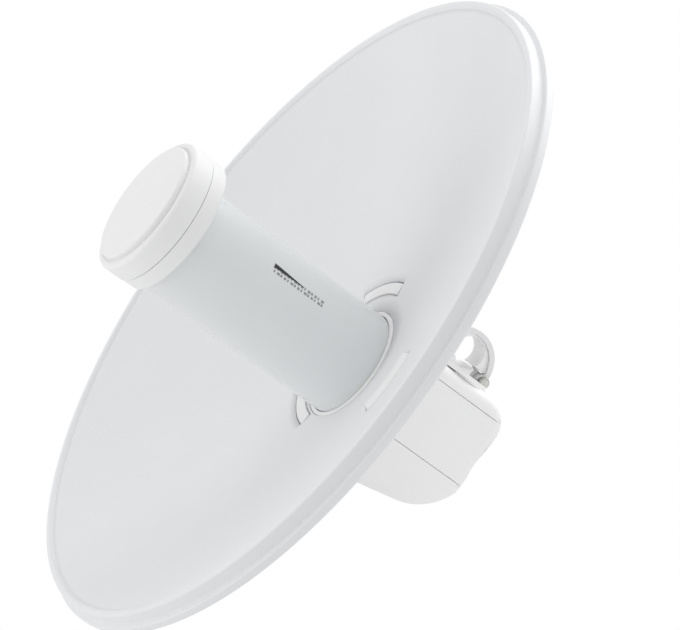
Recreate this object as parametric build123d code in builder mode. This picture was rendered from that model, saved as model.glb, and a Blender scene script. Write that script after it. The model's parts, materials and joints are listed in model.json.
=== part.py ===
from build123d import *
import math
import os

# A wireless bridge dish: parabolic reflector, plug-in feed tube, rear radio housing and side pole clamp.
#
# Frame: the origin is on the axis of the clamped pole, level with the dish axis. +Z runs up the pole,
# the dish looks along -Y, and the dish axis lies beside the pole on the -X side. Millimetres.

os.makedirs("parts", exist_ok=True)

# Places that tie the two halves together
pole_offset_x = 40.5       # pole axis to dish axis, sideways
pole_offset_y = 105.0      # datum plane to pole axis, along the dish axis
dish_x = -pole_offset_x
datum_y = -pole_offset_y   # depths below are measured back from this plane
rim_lead = 8.0             # the rim's front edge stands this far ahead of the datum plane

# Reflector
reflector_depth = 55.0     # datum plane to vertex
bowl_radius = 201.8        # where the parabola meets the rolled rim
bowl_lip_y = 1.4 - rim_lead
hem_radius = 210.0
sheet = 1.6
parabola = bowl_radius**2 / (reflector_depth - bowl_lip_y)   # four focal lengths

# Feed tube and its cap
feed_offset = -4.9         # the tube's axis beside the dish axis
tube_front_y = -90.0
tube_back_y = 65.5
tube_front_r = 33.6
tube_back_r = 32.3
tube_wall = 2.2
cap_r = 42.0
cap_collar_r = 41.5
cap_front_y = -103.5
cap_collar_back_y = -80.0
disc_r = 37.0
disc_rise = 2.8
window_tilt = 29.0         # degrees from straight down, towards the pole side

# Bayonet windows in the bowl: inner radius, outer radius, middle angle, width in degrees
bayonets = [(42.0, 50.5, 27.0, 48.0), (42.0, 50.5, 153.0, 48.0), (61.0, 70.5, 270.0, 34.0)]
bayonet_gap = 0.5
bayonet_rise = 0.35

# Radio housing
housing_half_height = 28.0
housing_front_y = 66.0
housing_back_y = 144.5
housing_right_x = 26.6
housing_left_x = -53.0
housing_left_front_x = -62.0
wall = 2.5
floor_wall = 5.5
edge_r = 7.0
door_left_x = -24.9
door_right_x = 17.8
door_front_y = 72.0
door_sheet = 2.3
door_gap = 0.3
scoop_x = -9.5             # shallow finger scoop down the back
scoop_r = 28.0
scoop_depth = 3.1
outlet_x = -10.5           # cable outlet in the back wall
outlet_r = 5.5

# Pole clamp
pole_r = 9.5
bore_r = pole_r + 0.1
saddle_back_x = 27.2
saddle_face_x = 34.6
strap_centre = (33.2, 103.2)
strap_r = 21.0
strap_sheet = 3.0
strap_width = 22.0
hinge_pin = (31.2, 122.0)
hinge_pin_r = 2.0
knuckle_r = 3.9
screw_y = 76.0
pivot_r = 4.0
running_gap = 0.06
lock_place = (-11.0, 17.5) # lock bolt from the elevation pivot, back and up
plate_r = 25.0
lock_r = 2.5
elevation_deg = 20.0


def plan(height=0.0):
    """Level plane: x sideways from the dish axis, y back from the datum plane."""
    return Plane(origin=(dish_x, datum_y, height))


def front(back, sideways=0.0):
    """Upright plane that faces the way the dish looks, back behind the datum plane."""
    return Plane(origin=(dish_x + sideways, datum_y + back, 0), x_dir=(1, 0, 0), z_dir=(0, -1, 0))


def side(sideways, back=pole_offset_y, height=0.0):
    """Upright plane facing +X: x runs back, y runs up."""
    origin = (dish_x + sideways, datum_y + back, height)
    return Plane(origin=origin, x_dir=(0, 1, 0), z_dir=(1, 0, 0))


def bowl(radius):
    """Depth of the reflecting face behind the datum plane."""
    return reflector_depth - radius**2 / parabola


def tube_r(back):
    """Outer radius of the tapered feed tube."""
    share = (back - tube_front_y) / (tube_back_y - tube_front_y)
    return tube_front_r + (tube_back_r - tube_front_r) * share


def save(part, name):
    part.label = name
    export_step(part, f"parts/{name}.step")


dish_axis = Axis((dish_x, datum_y, 0), (0, 1, 0))
feed_plan = Plane(origin=(dish_x + feed_offset, datum_y, 0))
feed_axis = Axis((dish_x + feed_offset, datum_y, 0), (0, 1, 0))

# ---------------------------------------------------------------- reflector
hub_r = 20.0
with BuildPart() as reflector:
    with BuildSketch(plan()) as section:
        with BuildLine():
            middle_r = (hub_r + bowl_radius) / 2
            half_run = (bowl_radius - hub_r) / 2
            slope = -2 * hub_r / parabola
            face_line = Bezier(
                (hub_r, bowl(hub_r)),
                (middle_r, bowl(hub_r) + slope * half_run),
                (bowl_radius, bowl_lip_y),
            )
            lip = ThreePointArc(face_line @ 1, (203.3, 0.25 - rim_lead), (204.8, -rim_lead))
            roll = ThreePointArc(lip @ 1, (206.0, 0.4 - rim_lead), (206.3, 1.4 - rim_lead))
            step = Polyline(roll @ 1, (206.6, 7.5 - rim_lead), (209.2, 7.5 - rim_lead))
            hem = ThreePointArc(step @ 1, (hem_radius, 10.3 - rim_lead), (209.2, 13.2 - rim_lead))
            hem_inside = Polyline(hem @ 1, (204.5, 13.2 - rim_lead), (204.5, 8.0 - rim_lead))
            hem_back = Line(hem_inside @ 1, (200.6, bowl(200.6) + sheet))
            back_middle_r = (hub_r + 200.6) / 2
            back_half_run = (200.6 - hub_r) / 2
            Bezier(
                hem_back @ 1,
                (back_middle_r, bowl(hub_r) + sheet + slope * back_half_run),
                (hub_r, bowl(hub_r) + sheet),
            )
            Line((hub_r, bowl(hub_r) + sheet), (hub_r, bowl(hub_r)))
        make_face()
    revolve(axis=dish_axis)
    with BuildSketch(front(reflector_depth + 5, feed_offset)):
        Circle(35.6)
    extrude(amount=12, mode=Mode.SUBTRACT)
    with BuildSketch(front(reflector_depth + 5)):
        for inner, outer, middle, width in bayonets:
            with BuildLine():
                inner_arc = CenterArc((0, 0), inner, middle - width / 2, width)
                outer_arc = CenterArc((0, 0), outer, middle - width / 2, width)
                Line(inner_arc @ 0, outer_arc @ 0)
                Line(inner_arc @ 1, outer_arc @ 1)
            make_face()
    extrude(amount=18, mode=Mode.SUBTRACT)
save(reflector.part, "reflector")

# ------------------------------------------- lock ring: three tabs behind the bowl
lock_ring_y = 58.2
with BuildPart() as lock_ring:
    with BuildSketch(front(lock_ring_y + 2.6)):
        Circle(70.0)
        with Locations((feed_offset, 0)):
            Circle(37.0, mode=Mode.SUBTRACT)
    extrude(amount=2.6)
    for inner, outer, middle, width in bayonets:
        trim = math.degrees(bayonet_gap / outer)
        tab_height = lock_ring_y - bowl((inner + outer) / 2) + bayonet_rise
        with BuildSketch(front(lock_ring_y)):
            with BuildLine():
                inner_arc = CenterArc((0, 0), inner + bayonet_gap, middle - width / 2 + trim, width - 2 * trim)
                outer_arc = CenterArc((0, 0), outer - bayonet_gap, middle - width / 2 + trim, width - 2 * trim)
                Line(inner_arc @ 0, outer_arc @ 0)
                Line(inner_arc @ 1, outer_arc @ 1)
            make_face()
        extrude(amount=tab_height)
save(lock_ring.part, "lock_ring")

# ------------------------------------------------ base ring round the tube's root
with BuildPart() as base_ring:
    with BuildSketch(front(lock_ring_y + 2.6, feed_offset)):
        Circle(35.4)
        Circle(32.8, mode=Mode.SUBTRACT)
    extrude(amount=lock_ring_y + 2.6 - bowl(35.4) + 0.7)
    chamfer(base_ring.faces().sort_by(Axis.Y)[0].outer_wire().edges(), 0.6)
save(base_ring.part, "base_ring")

# ---------------------------------------------------------------- feed tube
slot_plane = Plane(
    origin=(dish_x + feed_offset, datum_y, 0),
    x_dir=(0, 1, 0),
    z_dir=(math.sin(math.radians(window_tilt)), 0, -math.cos(math.radians(window_tilt))),
)
window_outline = [(-31.0, 3.2), (-31.0, 5.6), (-9.0, 4.0), (-9.0, 3.4)]

with BuildPart() as feed_tube:
    with BuildSketch(feed_plan):
        with BuildLine():
            Polyline(
                (tube_front_r - tube_wall, tube_front_y),
                (tube_front_r, tube_front_y),
                (tube_back_r, tube_back_y),
                (tube_back_r - tube_wall, tube_back_y),
                close=True,
            )
        make_face()
    revolve(axis=feed_axis)
    with BuildSketch(slot_plane):
        Polygon(*window_outline, align=None)
    extrude(amount=tube_front_r + 2, mode=Mode.SUBTRACT)
save(feed_tube.part, "feed_tube")

with BuildPart() as status_window:
    with BuildSketch(feed_plan):
        with BuildLine():
            Polyline(
                (tube_r(-35) - 1.4, -35.0),
                (tube_r(-35), -35.0),
                (tube_r(0), 0.0),
                (tube_r(0) - 1.4, 0.0),
                close=True,
            )
        make_face()
    revolve(axis=feed_axis)
    with BuildSketch(slot_plane):
        Polygon(*window_outline, align=None)
    extrude(amount=tube_front_r + 2, mode=Mode.INTERSECT)
save(status_window.part, "status_window")

# ---------------------------------------------------------------- feed cap
with BuildPart() as feed_collar:
    with BuildSketch(front(cap_collar_back_y)):
        Circle(cap_collar_r)
        with Locations((feed_offset, 0)):
            Circle(tube_front_r, mode=Mode.SUBTRACT)
    extrude(amount=cap_collar_back_y - tube_front_y)
    fillet(feed_collar.faces().sort_by(Axis.Y)[-1].outer_wire().edges(), 1.6)
save(feed_collar.part, "feed_collar")

with BuildPart() as feed_cap:
    with BuildSketch(front(tube_front_y - 0.4)):
        Circle(cap_r)
    extrude(amount=tube_front_y - 0.4 - cap_front_y)
    fillet(feed_cap.faces().sort_by(Axis.Y)[0].edges(), 2.6)
    with BuildSketch(front(tube_front_y - 0.4)):
        Circle(cap_r - 2.4)
    extrude(amount=tube_front_y - 0.4 - cap_front_y - 2.2, mode=Mode.SUBTRACT)
    with BuildSketch(front(cap_front_y)):
        Circle(disc_r + 1.0)
        Circle(disc_r - 0.4, mode=Mode.SUBTRACT)
    extrude(amount=-0.9, mode=Mode.SUBTRACT)
save(feed_cap.part, "feed_cap")

with BuildPart() as cap_disc:
    with BuildSketch(front(cap_front_y)):
        Circle(disc_r - 0.4)
    extrude(amount=disc_rise)
    fillet(cap_disc.faces().sort_by(Axis.Y)[0].edges(), 1.4)
save(cap_disc.part, "cap_disc")

# ------------------------------------------------ what the feed tube and cap hold
with BuildPart() as splash_plate:
    with BuildSketch(front(-92.0, feed_offset)):
        Circle(31.0)
    extrude(amount=1.5)
    fillet(splash_plate.faces().sort_by(Axis.Y)[0].edges(), 0.6)
save(splash_plate.part, "splash_plate")

with BuildPart() as feed_board:
    with BuildSketch(feed_plan.offset(-0.8)):
        with Locations((0, -14)):
            Rectangle(44, 148)
    extrude(amount=1.6)
    with BuildSketch(feed_plan.offset(0.8)):
        with Locations((0, -60), (0, 20)):
            Rectangle(22, 30)
    extrude(amount=4)
save(feed_board.part, "feed_board")

with BuildPart() as feed_plug:
    with BuildSketch(front(tube_back_y - 0.2, feed_offset)):
        Circle(tube_back_r - tube_wall)
    extrude(amount=5)
    with BuildSketch(front(tube_back_y - 0.2, feed_offset)):
        Rectangle(30, 8)
    extrude(amount=-7)
save(feed_plug.part, "feed_plug")

# ------------------------------------------- back collar between bowl and housing
with BuildPart() as back_collar:
    with BuildSketch(plan()):
        with BuildLine():
            Polyline(
                (30.0, lock_ring_y + 2.6),
                (72.0, lock_ring_y + 2.6),
                (72.0, bowl(72.0) + sheet + 0.1),
                (75.0, bowl(75.0) + sheet + 0.1),
                (75.0, 62.0),
                (71.5, housing_front_y),
                (30.0, housing_front_y),
                close=True,
            )
        make_face()
    revolve(axis=dish_axis)
    with BuildSketch(front(housing_front_y, feed_offset)):
        Circle(33.3)
    extrude(amount=12, mode=Mode.SUBTRACT)
save(back_collar.part, "back_collar")

# ---------------------------------------------------------------- radio housing
with BuildPart() as envelope:
    with BuildSketch(plan(-housing_half_height)):
        with BuildLine():
            left = Line((housing_left_front_x, housing_front_y), (housing_left_x, 116.0))
            left_corner = TangentArc(left @ 1, (-29.5, housing_back_y), tangent=left % 1)
            back = Line(left_corner @ 1, (9.0, housing_back_y))
            right_corner = TangentArc(back @ 1, (housing_right_x, 126.5), tangent=(1, 0))
            right = Line(right_corner @ 1, (housing_right_x, housing_front_y))
            Line(right @ 1, left @ 0)
        make_face()
    extrude(amount=2 * housing_half_height)
    rims = envelope.edges().filter_by(lambda edge: abs(abs(edge.center().Z) - housing_half_height) < 0.01)
    fillet(rims.filter_by(lambda edge: edge.center().Y > datum_y + housing_front_y + 1), edge_r)
    with BuildSketch(Plane(origin=(dish_x + scoop_x, datum_y + housing_back_y - scoop_depth + scoop_r, 0))):
        Circle(scoop_r)
    extrude(amount=housing_half_height, both=True, mode=Mode.SUBTRACT)

with BuildLine() as lock_path:
    lock_deg = math.degrees(math.atan2(lock_place[1], lock_place[0]))
    CenterArc((0, 0), math.hypot(*lock_place), lock_deg - elevation_deg - 2, 2 * elevation_deg + 4)

with BuildPart() as housing:
    add(envelope.part)
    with BuildSketch(plan(floor_wall - housing_half_height)):
        with BuildLine():
            Polyline(
                (housing_left_front_x + 3.2, housing_front_y + wall),
                (housing_left_x + 2.8, 118.0),
                (-34.0, housing_back_y - 2 * wall),
                (10.0, housing_back_y - 2 * wall),
                (housing_right_x - wall, 128.0),
                (housing_right_x - wall, housing_front_y + wall),
                close=True,
            )
        make_face()
    extrude(amount=2 * housing_half_height - floor_wall - wall, mode=Mode.SUBTRACT)
    with BuildSketch(front(housing_front_y + 4, feed_offset)):
        Rectangle(34, 12)
    extrude(amount=6, mode=Mode.SUBTRACT)
    # The door's bed, the grooves for its tongues and the port bay above it
    with BuildSketch(plan(-housing_half_height)):
        with Locations(((door_left_x + door_right_x) / 2, (door_front_y + 160) / 2)):
            Rectangle(door_right_x - door_left_x, 160 - door_front_y)
    extrude(amount=door_sheet + door_gap, mode=Mode.SUBTRACT)
    with BuildSketch(plan(-housing_half_height + 1.2)):
        with Locations(((door_left_x + door_right_x) / 2, (door_front_y + 160) / 2)):
            Rectangle(door_right_x - door_left_x + 3, 160 - door_front_y)
    extrude(amount=1.4, mode=Mode.SUBTRACT)
    with BuildSketch(plan(-housing_half_height)):
        with Locations((-3.5, 106)):
            RectangleRounded(30, 48, 3)
    extrude(amount=8, mode=Mode.SUBTRACT)
    # Elevation pivot: inner boss, running bore and the lock bolt's arc
    with BuildSketch(side(18.0)):
        Circle(8.5)
    extrude(amount=housing_right_x - wall - 18.0)
    with BuildSketch(side(17.0)):
        Circle(pivot_r + running_gap)
    extrude(amount=12, mode=Mode.SUBTRACT)
    with BuildSketch(side(housing_right_x - wall - 1)):
        SlotArc(lock_path.edge(), 2 * lock_r + 0.8)
    extrude(amount=12, mode=Mode.SUBTRACT)
    # Cable outlet in the back wall
    with BuildSketch(front(housing_back_y + 3, outlet_x)):
        with Locations((0, -14.0)):
            Circle(outlet_r)
    extrude(amount=14, mode=Mode.SUBTRACT)
save(housing.part, "housing")

with BuildPart() as port_door:
    add(envelope.part)
    door_middle = (door_left_x + door_right_x) / 2
    door_front = door_front_y + door_gap
    with BuildSketch(plan(-housing_half_height)):
        with Locations((door_middle, (door_front + 160) / 2)):
            Rectangle(door_right_x - door_left_x - 2 * door_gap, 160 - door_front)
    extrude(amount=door_sheet, mode=Mode.INTERSECT)
    with BuildSketch(plan(-housing_half_height + 1.5)):
        with Locations((door_middle, (door_front + 132) / 2)):
            Rectangle(door_right_x - door_left_x + 2.2, 132 - door_front)
    extrude(amount=door_sheet - 1.5)
save(port_door.part, "port_door")

with BuildPart() as cable_grommet:
    with BuildSketch(front(housing_back_y - 1.2, outlet_x)):
        with Locations((0, -14.0)):
            Circle(outlet_r)
            Circle(3.0, mode=Mode.SUBTRACT)
    extrude(amount=5.8)
save(cable_grommet.part, "cable_grommet")

# ------------------------------------------------ electronics inside the housing
with BuildPart() as main_board:
    with BuildSketch(plan(6.0)):
        with Locations((-18, 110)):
            Rectangle(44, 40)
    extrude(amount=1.6)
    with BuildSketch(plan(7.6)):
        with Locations((-28, 104), (-8, 116)):
            Rectangle(16, 16)
    extrude(amount=3)
save(main_board.part, "main_board")

with BuildPart() as port_jack:
    with BuildSketch(plan(-14.0)):
        with Locations((-10.5, 104)):
            Rectangle(16, 22)
    extrude(amount=20)
    with BuildSketch(plan(-14.0)):
        with Locations((-10.5, 104)):
            Rectangle(12, 8)
    extrude(amount=14, mode=Mode.SUBTRACT)
save(port_jack.part, "port_jack")

with BuildPart() as reset_button:
    with BuildSketch(plan(-13.0)):
        with Locations((1.0, 96)):
            Circle(1.8)
    extrude(amount=19)
save(reset_button.part, "reset_button")

# Four screws that hold the housing's halves, sunk into its top
screw_places = [(-50, 76), (-40, 128), (18, 76), (14, 128)]
with BuildPart() as housing_screws:
    with BuildSketch(plan(housing_half_height)):
        with Locations(*screw_places):
            Circle(3.2)
    extrude(amount=1.0)
    fillet(housing_screws.edges().group_by(Axis.Z)[-1], 0.5)
    with BuildSketch(plan(housing_half_height + 0.4)):
        with Locations(*screw_places):
            RegularPolygon(1.5, 6)
    extrude(amount=1.0, mode=Mode.SUBTRACT)
save(housing_screws.part, "housing_screws")

with BuildPart() as ground_screw:
    with BuildSketch(front(housing_back_y + 1.6, 3.0)):
        Circle(3.6)
        Rectangle(5.2, 0.9, mode=Mode.SUBTRACT)
    extrude(amount=1.6)
    with BuildSketch(front(housing_back_y, 3.0)):
        Circle(4.6)
    extrude(amount=-0.5)
save(ground_screw.part, "ground_screw")

# ------------------------------------------------ elevation pivot and lock bolt
with BuildPart() as pivot_bolt:
    with BuildSketch(side(13.4)):
        RegularPolygon(7.4, 6)
    extrude(amount=4.2)
    with BuildSketch(side(17.6)):
        Circle(pivot_r)
    extrude(amount=12.2)
save(pivot_bolt.part, "pivot_bolt")

with BuildPart() as lock_bolt:
    with BuildSketch(side(20.4)):
        with Locations(lock_place):
            RegularPolygon(4.8, 6)
    extrude(amount=3.2)
    with BuildSketch(side(23.6)):
        with Locations(lock_place):
            Circle(lock_r)
    extrude(amount=7.0)
save(lock_bolt.part, "lock_bolt")

with BuildPart() as lock_nut:
    with BuildSketch(side(saddle_back_x + 2.6)):
        with Locations(lock_place):
            RegularPolygon(4.6, 6)
            Circle(lock_r, mode=Mode.SUBTRACT)
    extrude(amount=2.6)
save(lock_nut.part, "lock_nut")

# ---------------------------------------------------------------- saddle
with BuildPart() as saddle:
    with BuildSketch(side(saddle_back_x)):
        Circle(plate_r)
    extrude(amount=2.6)
    with BuildSketch(side(saddle_back_x)):
        with Locations((-4.5, 0)):
            RectangleRounded(25.0, 24.0, 2.0)
    extrude(amount=saddle_face_x - saddle_back_x)
    # Ear for the closing screw
    with BuildSketch(side(saddle_back_x)):
        with Locations((-25.0, 0)):
            Rectangle(20.0, 18.0)
    extrude(amount=2.8)
    # Room for the strap's knuckles, then the hinge lug between them
    with BuildSketch(plan(-15.5)):
        with Locations((hinge_pin[0], hinge_pin[1] + 5.0)):
            Rectangle(12.0, 18.0)
    extrude(amount=31.0, mode=Mode.SUBTRACT)
    with BuildSketch(plan(-5.0)):
        with Locations(hinge_pin):
            Circle(knuckle_r)
        with Locations((hinge_pin[0], hinge_pin[1] - 6.0)):
            Rectangle(2 * (knuckle_r - 0.4), 12.0)
        with Locations(hinge_pin):
            Circle(hinge_pin_r, mode=Mode.SUBTRACT)
    extrude(amount=10.0)
    # Pole groove
    with BuildSketch(Plane.XY.offset(-20)):
        Circle(bore_r)
    extrude(amount=40, mode=Mode.SUBTRACT)
    # Blind seats of the two bolts, and the screw's slot
    with BuildSketch(side(saddle_back_x - 1)):
        Circle(pivot_r)
    extrude(amount=29.8 - saddle_back_x + 1, mode=Mode.SUBTRACT)
    with BuildSketch(side(saddle_back_x - 1)):
        with Locations(lock_place):
            Circle(lock_r)
    extrude(amount=6, mode=Mode.SUBTRACT)
    with BuildSketch(side(saddle_back_x - 1)):
        with Locations((screw_y - pole_offset_y, 0)):
            SlotOverall(9.0, 5.2)
    extrude(amount=6, mode=Mode.SUBTRACT)
save(saddle.part, "saddle")

with BuildPart() as clamp_pin:
    with BuildSketch(plan(-14.5)):
        with Locations(hinge_pin):
            Circle(3.4)
    extrude(amount=3.1)
    fillet(clamp_pin.edges().group_by(Axis.Z)[0], 1.0)
    with BuildSketch(plan(-11.4)):
        with Locations(hinge_pin):
            Circle(hinge_pin_r)
    extrude(amount=25.0)
save(clamp_pin.part, "clamp_pin")

# ---------------------------------------------------------------- strap
strap_cx, strap_cy = strap_centre
ear_x = 31.0
with BuildPart() as strap:
    with BuildSketch(plan(-strap_width / 2)):
        with Locations(strap_centre):
            Circle(strap_r)
            Circle(strap_r - strap_sheet, mode=Mode.SUBTRACT)
            with Locations((-20, 0)):
                Rectangle(40, 60, mode=Mode.SUBTRACT)
        with Locations(((strap_cx + ear_x) / 2, strap_cy - strap_r + strap_sheet / 2)):
            Rectangle(strap_cx - ear_x + 0.2, strap_sheet)
        with Locations((ear_x + 1.3, (strap_cy - strap_r + 69.5) / 2 + 1)):
            Rectangle(2.6, strap_cy - strap_r - 69.5 + 2)
        with Locations(hinge_pin):
            Circle(knuckle_r)
            Circle(hinge_pin_r + running_gap, mode=Mode.SUBTRACT)
    extrude(amount=strap_width)
    with BuildSketch(plan(-5.4)):
        with Locations(hinge_pin):
            Rectangle(14.0, 10.6)
    extrude(amount=10.8, mode=Mode.SUBTRACT)
    with BuildSketch(side(ear_x - 2)):
        with Locations((screw_y - pole_offset_y, 0)):
            Circle(2.0)
    extrude(amount=8, mode=Mode.SUBTRACT)
save(strap.part, "strap")

liner_face_x = 35.6
with BuildPart() as strap_liner:
    with BuildSketch(plan(-9.0)):
        with Locations(strap_centre):
            Circle(strap_r - strap_sheet)
            with Locations((liner_face_x - strap_cx - 20, 0)):
                Rectangle(40, 60, mode=Mode.SUBTRACT)
        with Locations((pole_offset_x, pole_offset_y)):
            Circle(bore_r, mode=Mode.SUBTRACT)
    extrude(amount=18.0)
save(strap_liner.part, "strap_liner")

with BuildPart() as clamp_screw:
    with BuildSketch(side(saddle_back_x + 0.2)):
        with Locations((screw_y - pole_offset_y, 0)):
            Circle(2.0)
    extrude(amount=ear_x + 2.6 - saddle_back_x - 0.2)
save(clamp_screw.part, "clamp_screw")

with BuildPart() as screw_knob:
    with BuildSketch(side(ear_x + 2.6)):
        with Locations((screw_y - pole_offset_y, 0)):
            Circle(6.2)
            with PolarLocations(6.6, 8):
                Circle(1.1, mode=Mode.SUBTRACT)
    extrude(amount=7.0)
    fillet(screw_knob.faces().sort_by(Axis.X)[-1].outer_wire().edges(), 0.4)
save(screw_knob.part, "screw_knob")
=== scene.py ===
"""A white wireless bridge dish on its pole clamp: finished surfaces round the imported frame.

Metres, in the frame's own axes: +Z up the pole, the dish looks along -Y.
"""
import json
import math

import bmesh
import bpy
from mathutils import Matrix, Vector


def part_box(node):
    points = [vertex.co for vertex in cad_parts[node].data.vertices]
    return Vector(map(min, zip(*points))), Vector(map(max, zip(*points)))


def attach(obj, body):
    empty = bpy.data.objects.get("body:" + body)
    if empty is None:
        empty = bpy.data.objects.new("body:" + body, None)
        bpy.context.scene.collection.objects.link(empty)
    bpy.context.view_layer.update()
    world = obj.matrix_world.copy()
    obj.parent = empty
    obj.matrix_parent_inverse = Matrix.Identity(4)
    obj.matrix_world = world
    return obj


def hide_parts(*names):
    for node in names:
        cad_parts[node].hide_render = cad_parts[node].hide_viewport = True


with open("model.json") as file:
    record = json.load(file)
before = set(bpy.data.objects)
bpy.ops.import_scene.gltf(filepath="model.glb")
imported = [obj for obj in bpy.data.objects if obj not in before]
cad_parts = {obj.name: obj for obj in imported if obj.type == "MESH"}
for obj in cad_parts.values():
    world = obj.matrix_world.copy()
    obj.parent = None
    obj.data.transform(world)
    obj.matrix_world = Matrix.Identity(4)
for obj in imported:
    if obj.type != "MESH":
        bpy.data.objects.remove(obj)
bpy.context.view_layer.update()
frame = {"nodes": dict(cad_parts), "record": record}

MM = 0.001

# ------------------------------------------------------------ places from the frame
dish_low, dish_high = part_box("reflector")
dish_x = (dish_low[0] + dish_high[0]) / 2
rim_y = dish_low[1]
hem_r = (dish_high[0] - dish_low[0]) / 2
tube_low, tube_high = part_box("feed_tube")
tube_x = (tube_low[0] + tube_high[0]) / 2
tube_r = (tube_high[0] - tube_low[0]) / 2
cap_low, cap_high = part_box("feed_cap")
cap_r = (cap_high[2] - cap_low[2]) / 2
disc_low, disc_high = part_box("cap_disc")
disc_r = (disc_high[2] - disc_low[2]) / 2
collar_low, collar_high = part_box("feed_collar")
collar_r = (collar_high[2] - collar_low[2]) / 2

rim_centre = Vector((dish_x, rim_y, 0.0))
bowl_r = hem_r - 8.2 * MM
bowl_lip = 1.4 * MM
bowl_depth = 63.0 * MM
sheet = 1.6 * MM
rim_lead = 8.0 * MM            # the rim stands this far ahead of the tube's datum plane
window_lean = math.radians(29.0)  # the status window, from straight down towards the pole


# ------------------------------------------------------------ camera, light, floor
def place_camera():
    """A long lens below and a little in front of the dish, rolled as the dish is held."""
    right = Vector((0.590, 0.742, -0.315)).normalized()
    ahead = Vector((0.0, 0.390, 0.920)).normalized()
    down = ahead.cross(right).normalized()
    right = down.cross(ahead)
    step_r = hem_r - 3.8 * MM
    distance = 8.0 * step_r
    aside = 0.0219 * distance    # the dish stands a little left of the middle
    below = 0.0056 * distance
    spot = rim_centre - ahead * distance + right * aside + down * below
    data = bpy.data.cameras.new("camera")
    data.sensor_width = 36.0     # millimetres, as the lens is
    data.lens = 154.6
    data.clip_end = 50.0
    camera = bpy.data.objects.new("camera", data)
    bpy.context.scene.collection.objects.link(camera)
    turn = Matrix((right, -down, -ahead)).transposed()
    camera.matrix_world = Matrix.Translation(spot) @ turn.to_4x4()
    bpy.context.scene.camera = camera


def place_floor():
    """A pale floor well below the clamped dish, wide enough that no edge of it shows."""
    half_width = 60.0
    floor_z = -1.95
    bm = bmesh.new()
    bmesh.ops.create_grid(bm, x_segments=2, y_segments=2, size=half_width)
    bmesh.ops.translate(bm, verts=bm.verts, vec=(0.0, 0.0, floor_z))
    mesh = bpy.data.meshes.new("floor")
    bm.to_mesh(mesh)
    bm.free()
    floor = bpy.data.objects.new("floor", mesh)
    bpy.context.scene.collection.objects.link(floor)
    surface = bpy.data.materials.new("pale_floor")
    surface.use_nodes = True
    shader = surface.node_tree.nodes["Principled BSDF"]
    shader.inputs["Base Color"].default_value = (0.80, 0.80, 0.80, 1.0)
    shader.inputs["Roughness"].default_value = 0.85
    mesh.materials.append(surface)


def soft_light(name, spot, size, watts, target=None):
    """A square light that faces the dish, or the target given."""
    data = bpy.data.lights.new(name, "AREA")
    data.size = size
    data.energy = watts
    light = bpy.data.objects.new(name, data)
    bpy.context.scene.collection.objects.link(light)
    light.location = spot
    aim = (rim_centre if target is None else target) - Vector(spot)
    light.rotation_euler = aim.to_track_quat("-Z", "Y").to_euler()


def light_room():
    """A bright, even surround, with soft lights that leave the underside a little darker."""
    world = bpy.data.worlds.new("studio")
    bpy.context.scene.world = world
    world.use_nodes = True
    nodes = world.node_tree.nodes
    links = world.node_tree.links
    surround = nodes["Background"]
    surround.inputs["Color"].default_value = (1.0, 1.0, 1.0, 1.0)
    surround.inputs["Strength"].default_value = 0.86
    seen = nodes.new("ShaderNodeBackground")
    seen.inputs["Color"].default_value = (1.0, 1.0, 1.0, 1.0)
    seen.inputs["Strength"].default_value = 1.0
    path = nodes.new("ShaderNodeLightPath")
    mix = nodes.new("ShaderNodeMixShader")
    links.new(path.outputs["Is Camera Ray"], mix.inputs["Fac"])
    links.new(surround.outputs["Background"], mix.inputs[1])
    links.new(seen.outputs["Background"], mix.inputs[2])
    links.new(mix.outputs["Shader"], nodes["World Output"].inputs["Surface"])
    soft_light("right_side", (1.6, -0.3, 0.5), 1.4, 9.0)
    soft_light("left_front", (-1.5, -1.3, 0.3), 1.6, 7.0)
    soft_light("upper_right", (1.15, 0.42, 0.45), 0.7, 3.6)
    clamp = Vector((0.0, 0.0, 0.0))
    soft_light("under_housing", (0.0, 0.27, -0.30), 0.25, 0.2, clamp)
    bpy.context.scene.view_settings.view_transform = "Standard"


place_camera()
place_floor()
light_room()


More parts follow.
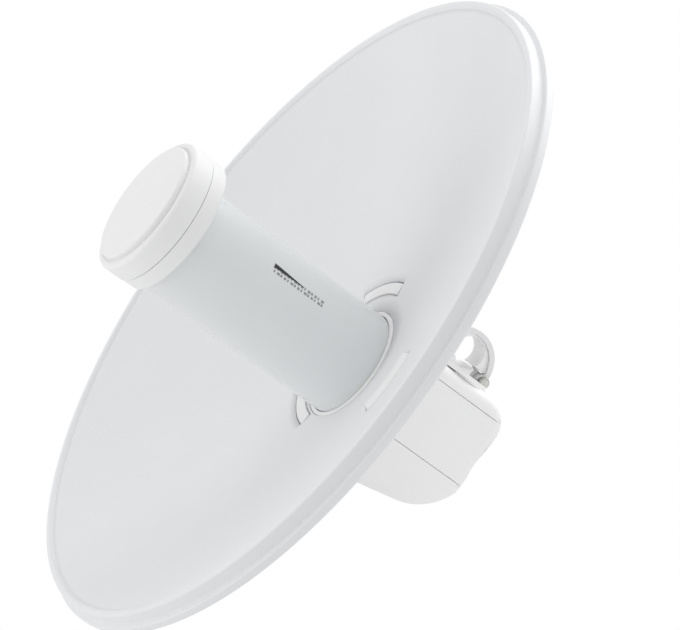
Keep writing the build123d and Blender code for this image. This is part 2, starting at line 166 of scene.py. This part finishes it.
# ------------------------------------------------------------ finishes
def finish(name, colour, roughness, grain, depth, drift=0.02, metal=0.0, coat=0.0):
    """A finish with slow colour drift and a fine grain in its bump and roughness.

    grain is the grain's size and depth its height, in metres.
    """
    surface = bpy.data.materials.new(name)
    surface.use_nodes = True
    nodes = surface.node_tree.nodes
    links = surface.node_tree.links
    shader = nodes["Principled BSDF"]
    shader.inputs["Metallic"].default_value = metal
    shader.inputs["Coat Weight"].default_value = coat
    shader.inputs["Coat Roughness"].default_value = 0.08
    place = nodes.new("ShaderNodeTexCoord")

    slow = nodes.new("ShaderNodeTexNoise")
    slow.inputs["Scale"].default_value = 14.0
    slow.inputs["Detail"].default_value = 4.0
    tint = nodes.new("ShaderNodeValToRGB")
    tint.color_ramp.elements[0].position = 0.3
    tint.color_ramp.elements[1].position = 0.7
    tint.color_ramp.elements[0].color = (*[c * (1 - drift) for c in colour], 1.0)
    tint.color_ramp.elements[1].color = (*[min(1.0, c * (1 + drift)) for c in colour], 1.0)
    links.new(place.outputs["Object"], slow.inputs["Vector"])
    links.new(slow.outputs["Fac"], tint.inputs["Fac"])
    links.new(tint.outputs["Color"], shader.inputs["Base Color"])

    fine = nodes.new("ShaderNodeTexNoise")
    fine.inputs["Scale"].default_value = 1.0 / grain
    fine.inputs["Detail"].default_value = 3.0
    polish = nodes.new("ShaderNodeMapRange")
    polish.inputs["To Min"].default_value = roughness * 0.88
    polish.inputs["To Max"].default_value = roughness * 1.12
    links.new(place.outputs["Object"], fine.inputs["Vector"])
    links.new(fine.outputs["Fac"], polish.inputs["Value"])
    links.new(polish.outputs["Result"], shader.inputs["Roughness"])

    bump = nodes.new("ShaderNodeBump")
    bump.inputs["Strength"].default_value = 0.5
    bump.inputs["Distance"].default_value = depth
    links.new(fine.outputs["Fac"], bump.inputs["Height"])
    links.new(bump.outputs["Normal"], shader.inputs["Normal"])
    return surface


def finishes():
    """Every slot's material, by slot name."""
    return {
        "painted_dish": finish(
            "satin_powder_coat", (0.835, 0.845, 0.86), 0.46, 0.9 * MM, 0.02 * MM, 0.012),
        "painted_strap": finish(
            "satin_strap_paint", (0.80, 0.80, 0.81), 0.42, 0.8 * MM, 0.02 * MM, 0.015),
        "housing_plastic": finish(
            "fine_white_moulding", (0.90, 0.90, 0.90), 0.52, 0.6 * MM, 0.025 * MM, 0.012),
        "gloss_tube": finish(
            "glossy_white_tube", (0.785, 0.805, 0.81), 0.16, 6.0 * MM, 0.02 * MM, 0.012, coat=0.5),
        "dark_window": finish(
            "smoked_window", (0.012, 0.012, 0.015), 0.12, 3.0 * MM, 0.01 * MM, coat=0.6),
        "dark_plastic": finish(
            "grey_knob_plastic", (0.30, 0.30, 0.31), 0.55, 0.7 * MM, 0.03 * MM, 0.05),
        "grey_rubber": finish(
            "grommet_rubber", (0.10, 0.10, 0.105), 0.75, 0.5 * MM, 0.04 * MM, 0.08),
        "steel_plated": finish(
            "zinc_plated_steel", (0.44, 0.44, 0.42), 0.33, 0.5 * MM, 0.015 * MM, 0.08, metal=1.0),
        "sheet_aluminium": finish(
            "sheet_aluminium", (0.75, 0.75, 0.76), 0.35, 0.8 * MM, 0.01 * MM, 0.03, metal=1.0),
        "board_green": finish(
            "solder_mask", (0.03, 0.16, 0.07), 0.4, 2.0 * MM, 0.03 * MM, 0.15),
    }


look = finishes()
slot_of = {part["node"]: part["material_slot"] for part in frame["record"]["subparts"]}
body_of = {}
for body, nodes in frame["record"]["behaviour"]["bodies"].items():
    for node in nodes:
        body_of[node] = body
print_grey = finish("pad_print_grey", (0.36, 0.37, 0.38), 0.5, 0.4 * MM, 0.01 * MM, 0.2)


# ------------------------------------------------------------ making pieces
def shade(mesh, sharp_deg=32.0):
    for face in mesh.polygons:
        face.use_smooth = True
    mesh.set_sharp_from_angle(angle=math.radians(sharp_deg))


def piece(name, bm, node, surface=None, sharp_deg=32.0, stands_for=True):
    """Turns bm into a piece that rides with node's body and wears its slot's material, or the
    surface given.
    """
    mesh = bpy.data.meshes.new(name)
    bm.to_mesh(mesh)
    bm.free()
    shade(mesh, sharp_deg)
    mesh.materials.append(surface or look[slot_of[node]])
    made = bpy.data.objects.new(name, mesh)
    bpy.context.scene.collection.objects.link(made)
    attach(made, body_of[node])
    if stands_for:
        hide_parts(node)
    return made


def rounded(corners, steps=5):
    """Points of an outline whose corners (r, y, radius), in metres, are rounded to that radius."""
    points = []
    for index, (r, y, radius) in enumerate(corners):
        here = Vector((r, y))
        if radius == 0:
            points.append(here)
            continue
        before = (Vector(corners[index - 1][:2]) - here).normalized()
        after = (Vector(corners[(index + 1) % len(corners)][:2]) - here).normalized()
        half = before.angle(after) / 2
        run = radius / math.tan(half)
        centre = here + (before + after).normalized() * (radius / math.sin(half))
        start = here + before * run - centre
        end = here + after * run - centre
        sweep = start.angle_signed(end)
        for step in range(steps + 1):
            points.append(centre + Matrix.Rotation(-sweep * step / steps, 2) @ start)
    return points


def spun(outline, axis_x, steps=256, closed=True):
    """A bmesh of an (r, y) outline turned about the line along Y through axis_x."""
    bm = bmesh.new()
    verts = [bm.verts.new((axis_x + r, y, 0.0)) for r, y in outline]
    for one, two in zip(verts, verts[1:]):
        bm.edges.new((one, two))
    if closed:
        bm.edges.new((verts[-1], verts[0]))
    bmesh.ops.spin(
        bm, geom=bm.verts[:] + bm.edges[:], cent=(axis_x, 0.0, 0.0), axis=(0.0, 1.0, 0.0),
        angle=2 * math.pi, steps=steps, use_merge=True,
    )
    bmesh.ops.remove_doubles(bm, verts=bm.verts, dist=1e-6)
    bmesh.ops.recalc_face_normals(bm, faces=bm.faces)
    return bm


def bowl_y(r):
    """Depth of the reflecting face behind the rim plane."""
    return bowl_depth - (bowl_depth - bowl_lip) * (r / bowl_r) ** 2


# ------------------------------------------------------------ reflector
def make_bowl():
    """The pressed sheet, with the three bayonet windows and the eccentric mouth for the tube."""
    # inner and outer radius in millimetres, then first and last angle in degrees
    windows = [(42.0, 50.5, 3, 51), (42.0, 50.5, 129, 177), (61.0, 70.5, 253, 287)]
    seat_r = 40.6 * MM
    mouth_r = 35.6 * MM
    radii = [seat_r, 42.0 * MM, 46.2 * MM, 50.5 * MM, 55.7 * MM, 61.0 * MM, 65.8 * MM, 70.5 * MM]
    rings = 44
    first = radii[-1]
    radii += [first + (bowl_r - first) * step / rings for step in range(1, rings + 1)]
    bm = spun([(r, rim_y + bowl_y(r)) for r in radii], dish_x, steps=360, closed=False)

    gone = []
    for face in bm.faces:
        middle = face.calc_center_median()
        aside = middle.x - dish_x
        r = math.hypot(aside, middle.z) / MM
        angle = math.degrees(math.atan2(middle.z, aside)) % 360
        if any(low < r < high and start < angle < stop for low, high, start, stop in windows):
            gone.append(face)
    bmesh.ops.delete(bm, geom=gone, context="FACES")

    mouth = [
        edge for edge in bm.edges
        if edge.is_boundary
        and all(math.hypot(v.co.x - dish_x, v.co.z) < seat_r + 0.1 * MM for v in edge.verts)
    ]
    grown = bmesh.ops.extrude_edge_only(bm, edges=mouth)
    for vert in (item for item in grown["geom"] if isinstance(item, bmesh.types.BMVert)):
        turn = math.atan2(vert.co.z, vert.co.x - dish_x)
        x = tube_x - dish_x + mouth_r * math.cos(turn)
        z = mouth_r * math.sin(turn)
        vert.co = (dish_x + x, rim_y + bowl_y(math.hypot(x, z)), z)
    bmesh.ops.recalc_face_normals(bm, faces=bm.faces)
    middle_face = max(bm.faces, key=lambda face: face.calc_center_median().x)
    if middle_face.normal.y > 0:
        bmesh.ops.reverse_faces(bm, faces=bm.faces)
    bowl = piece("reflector_bowl", bm, "reflector")
    wall = bowl.modifiers.new("sheet", "SOLIDIFY")
    wall.thickness = sheet
    wall.offset = -1.0
    wall.use_even_offset = True


def make_rim():
    """The rolled lip, the step and the hem that stiffen the edge."""
    lip = bowl_r
    hem = hem_r
    outline = rounded(
        [
            (lip - 0.6 * MM, rim_y + 1.75 * MM, 0),
            (lip + 1.2 * MM, rim_y + 0.0 * MM, 0.9 * MM),
            (lip + 4.4 * MM, rim_y + 0.0 * MM, 1.2 * MM),
            (lip + 4.8 * MM, rim_y + 7.4 * MM, 0.5 * MM),
            (hem, rim_y + 7.7 * MM, 0.9 * MM),
            (hem, rim_y + 13.2 * MM, 1.8 * MM),
            (hem - 5.5 * MM, rim_y + 13.2 * MM, 0.7 * MM),
            (hem - 5.7 * MM, rim_y + 8.2 * MM, 1.0 * MM),
            (lip - 1.2 * MM, rim_y + bowl_y(lip - 1.2 * MM) + sheet, 0),
        ]
    )
    bm = spun(outline, dish_x, steps=384)
    piece("reflector_rim", bm, "reflector", sharp_deg=50.0)


make_bowl()
make_rim()


# ------------------------------------------------------------ feed tube and cap
tube_taper = 1.3 * MM          # how much narrower the tube's radius is at its root


def taper(y):
    """The tube's outer radius at y."""
    return tube_r - tube_taper * (y - tube_low[1]) / (tube_high[1] - tube_low[1])


def make_tube():
    """The tapered tube, open at both ends."""
    wall = 2.2 * MM
    bands = 24
    run = tube_high[1] - tube_low[1]
    places = [tube_low[1] + run * i / bands for i in range(bands + 1)]
    outer = [(taper(y), y, 0) for y in places]
    inner = [(taper(tube_high[1]) - wall, tube_high[1], 0), (tube_r - wall, tube_low[1], 0)]
    piece("feed_tube_skin", spun(rounded(outer + inner), tube_x), "feed_tube")


def make_cap():
    """The front of the drum at the tube's mouth: its shell and the raised disc."""
    front, back = cap_low[1], cap_high[1]
    groove_out = disc_r + 1.4 * MM
    groove_floor = front + 0.9 * MM
    inside_r = cap_r - 2.4 * MM
    inside_front = front + 2.2 * MM
    shell = [
        (0.0, front, 0),
        (disc_r, front, 0),
        (disc_r, groove_floor, 0.2 * MM),
        (groove_out, groove_floor, 0.2 * MM),
        (groove_out, front, 0.4 * MM),
        (cap_r, front, 2.5 * MM),
        (cap_r, back, 0.35 * MM),
        (inside_r, back, 0.2 * MM),
        (inside_r, inside_front, 0.5 * MM),
        (0.0, inside_front, 0),
    ]
    piece("feed_cap_shell", spun(rounded(shell), dish_x, closed=False), "feed_cap")

    face, seat = disc_low[1], disc_high[1]
    disc = [(0.0, face, 0), (disc_r, face, 1.3 * MM), (disc_r, seat, 0), (0.0, seat, 0)]
    piece("cap_disc_face", spun(rounded(disc), dish_x, closed=False), "cap_disc")


def make_collar():
    """A ring whose hole follows the eccentric tube."""
    front, back = collar_low[1], collar_high[1]
    steps = 256
    ease = 1.6 * MM              # radius of the rounded back edge
    bm = bmesh.new()
    outer_front = bmesh.ops.create_circle(bm, segments=steps, radius=collar_r)["verts"]
    loops = [outer_front]
    places = [(collar_r, front, 0.0), (collar_r, back - ease, 0.0)]
    for step in range(1, 6):
        turn = math.radians(90 * step / 5)
        r = collar_r - ease * (1 - math.cos(turn))
        y = back - ease * (1 - math.sin(turn))
        places.append((r, y, 0.0))
    hole_x = tube_x - dish_x
    places.append((tube_r, back, hole_x))
    places.append((tube_r, front, hole_x))
    for _ in places[1:]:
        loops.append(bmesh.ops.create_circle(bm, segments=steps, radius=collar_r)["verts"])
    for loop, (radius, y, aside) in zip(loops, places):
        for index, vert in enumerate(loop):
            turn = 2 * math.pi * index / steps
            vert.co = (dish_x + aside + radius * math.cos(turn), y, radius * math.sin(turn))
    for one, two in zip(loops, loops[1:] + loops[:1]):
        edges = [e for e in bm.edges if e.verts[0] in one and e.verts[1] in one]
        edges += [e for e in bm.edges if e.verts[0] in two and e.verts[1] in two]
        bmesh.ops.bridge_loops(bm, edges=edges)
    bmesh.ops.recalc_face_normals(bm, faces=bm.faces)
    piece("feed_collar_ring", bm, "feed_collar")


def make_status_window():
    """A smoked wedge let into the tube, wide at its front end."""
    datum = rim_y + rim_lead
    front_y, back_y = datum - 31.0 * MM, datum - 9.0 * MM
    slices = 12
    bm = bmesh.new()
    bmesh.ops.create_grid(bm, x_segments=slices, y_segments=4, size=0.5)
    for vert in bm.verts:
        share = vert.co.x + 0.5
        y = front_y + (back_y - front_y) * share
        half = (1.35 - 1.15 * share) * MM
        aside = (4.5 - 0.7 * share) * MM + 2 * half * vert.co.y
        r = taper(y) + 0.12 * MM
        turn = window_lean + math.asin(aside / r)
        vert.co = (tube_x + r * math.sin(turn), y, -r * math.cos(turn))
    bmesh.ops.recalc_face_normals(bm, faces=bm.faces)
    first = bm.faces[:][0]
    middle = first.calc_center_median()
    if first.normal.dot(Vector((middle.x - tube_x, 0.0, middle.z))) < 0:
        bmesh.ops.reverse_faces(bm, faces=bm.faces)
    made = piece("status_lens", bm, "status_window")
    wall = made.modifiers.new("glass", "SOLIDIFY")
    wall.thickness = 0.5 * MM
    wall.offset = -1.0


def make_signal_marks():
    """Two rows of small printed ticks beside the status window, wrapped on the tube."""
    bm = bmesh.new()
    lift = 0.06 * MM
    rows = [(4.6, 2.8), (0.6, 2.6)]  # where each row starts and how far it reaches, in degrees
    for row, (turn_deg, reach_deg) in enumerate(rows):
        for index in range(15):
            y = rim_y + rim_lead + (-31.0 + 2.5 * index + 0.7 * row) * MM
            length = (1.5, 0.9, 1.9, 1.2)[(index + row) % 4] * MM
            start = window_lean + math.radians(turn_deg)
            r = taper(y) + lift
            x, z = tube_x + r * math.sin(start), -r * math.cos(start)
            ends = [bm.verts.new((x, at, z)) for at in (y, y + length)]
            edge = bm.edges.new(ends)
            bmesh.ops.spin(
                bm, geom=ends + [edge], cent=(tube_x, 0.0, 0.0), axis=(0.0, 1.0, 0.0),
                angle=-math.radians(reach_deg), steps=3,
            )
    bmesh.ops.recalc_face_normals(bm, faces=bm.faces)
    for face in bm.faces:
        middle = face.calc_center_median()
        out = Vector((middle.x - tube_x, 0.0, middle.z))
        if face.normal.dot(out) < 0:
            face.normal_flip()
    made = piece("signal_marks", bm, "feed_tube", print_grey, stands_for=False)
    wall = made.modifiers.new("ink", "SOLIDIFY")
    wall.thickness = 0.1 * MM
    wall.offset = -1.0


make_tube()
make_cap()
make_collar()
make_status_window()
make_signal_marks()


# ------------------------------------------------------------ moulded and metal parts
def smoothed(node, edge_mm=0.0, sharp_deg=30.0):
    """A copy of a CAD part with its triangles joined, smooth curves and eased edges."""
    bm = bmesh.new()
    bm.from_mesh(frame["nodes"][node].data)
    bmesh.ops.remove_doubles(bm, verts=bm.verts, dist=1e-6)
    bmesh.ops.dissolve_limit(bm, angle_limit=math.radians(0.6), verts=bm.verts, edges=bm.edges)
    made = piece(node + "_finished", bm, node, sharp_deg=sharp_deg)
    if edge_mm:
        ease = made.modifiers.new("eased_edges", "BEVEL")
        ease.width = edge_mm * MM
        ease.segments = 2
        ease.limit_method = "ANGLE"
        ease.angle_limit = math.radians(40.0)
        ease.harden_normals = False
    return made


for node, edge_mm in [
    ("housing", 0.0), ("port_door", 0.45), ("back_collar", 0.5), ("saddle", 0.3),
    ("strap", 0.35), ("strap_liner", 0.25), ("screw_knob", 0.2), ("clamp_pin", 0.15),
    ("cable_grommet", 0.3), ("port_jack", 0.2), ("lock_ring", 0.2), ("base_ring", 0.2),
]:
    smoothed(node, edge_mm)

for node, made in frame["nodes"].items():
    made.data.materials.clear()
    made.data.materials.append(look[slot_of[node]])
